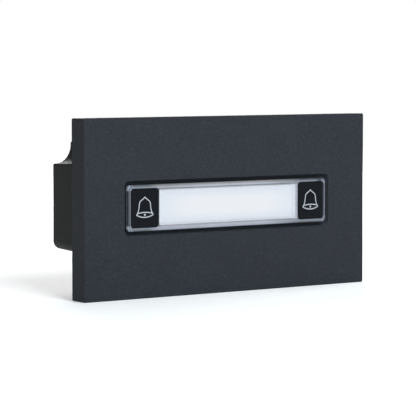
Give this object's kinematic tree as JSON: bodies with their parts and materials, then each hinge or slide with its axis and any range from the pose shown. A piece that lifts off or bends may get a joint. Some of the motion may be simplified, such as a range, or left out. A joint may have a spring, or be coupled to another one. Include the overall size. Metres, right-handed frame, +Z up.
{
  "type": "intercom button module",
  "caption": "Landscape call-button module of a door station: dark cast front plate, clear framed name label with a bell key at each end, black rear housing.",
  "frame": {"origin": "centre of the plane of the front plate's rear rim, where the module seats on its frame", "axes": "+X to the right seen from the front, +Y into the wall (the front face looks along -Y), +Z up"},
  "size_m": [0.1, 0.0229, 0.05],
  "materials": {
    "painted_casting": "fine-textured anthracite powder coat on a zinc die casting",
    "black_rubber": "matt black silicone rubber",
    "clear_plastic": "clear polycarbonate, polished",
    "white_film": "white translucent label film, lit from behind",
    "opal_plastic": "opal light-diffusing plastic",
    "white_plastic": "matt white moulded plastic",
    "black_plastic": "matt black moulded plastic",
    "key_plastic": "fine satin black moulded plastic",
    "switch_steel": "thin stainless sheet",
    "tinned_metal": "tinned brass",
    "board_laminate": "green solder resist on glass-fibre laminate",
    "led_plastic": "white package with yellowish lens",
    "chip_plastic": "black moulding compound",
    "capacitor_aluminium": "bare aluminium can on a black foot",
    "chip_ceramic": "black coated ceramic chip",
    "housing_plastic": "satin black moulded plastic",
    "screw_steel": "zinc-plated steel"
  },
  "bodies": {
    "module": {"front_plate": "painted_casting", "window_gasket": "black_rubber", "window_frame": "clear_plastic", "name_label": "white_film", "label_diffuser": "opal_plastic", "light_reflector": "white_plastic", "key_guide": "black_plastic", "left_key_boot": "black_rubber", "right_key_boot": "black_rubber", "left_switch_base": "black_plastic", "right_switch_base": "black_plastic", "left_switch_cover": "switch_steel", "right_switch_cover": "switch_steel", "left_switch_dome": "switch_steel", "right_switch_dome": "switch_steel", "switch_legs": "tinned_metal", "circuit_board": "board_laminate", "label_leds": "led_plastic", "microcontroller": "chip_plastic", "bus_driver": "chip_plastic", "capacitors": "capacitor_aluminium", "resistors": "chip_ceramic", "bus_in_socket": "black_plastic", "bus_out_socket": "black_plastic", "bus_pins": "tinned_metal", "rear_housing": "housing_plastic", "housing_screws": "screw_steel", "board_screws": "screw_steel"},
    "left_button": {"left_key": "key_plastic", "left_switch_plunger": "black_plastic"},
    "right_button": {"right_key": "key_plastic", "right_switch_plunger": "black_plastic"}
  },
  "joints": [
    {"name": "left_key_press", "type": "slide", "parent": "module", "child": "left_button", "axis": [0, 1, 0], "range_m": [0, 0.0005], "stiffness_N_per_m": 2000, "springref_m": -0.0005, "deforming": ["left_key_boot", "left_switch_dome"]},
    {"name": "right_key_press", "type": "slide", "parent": "module", "child": "right_button", "axis": [0, 1, 0], "range_m": [0, 0.0005], "stiffness_N_per_m": 2000, "springref_m": -0.0005, "deforming": ["right_key_boot", "right_switch_dome"]}
  ]
}
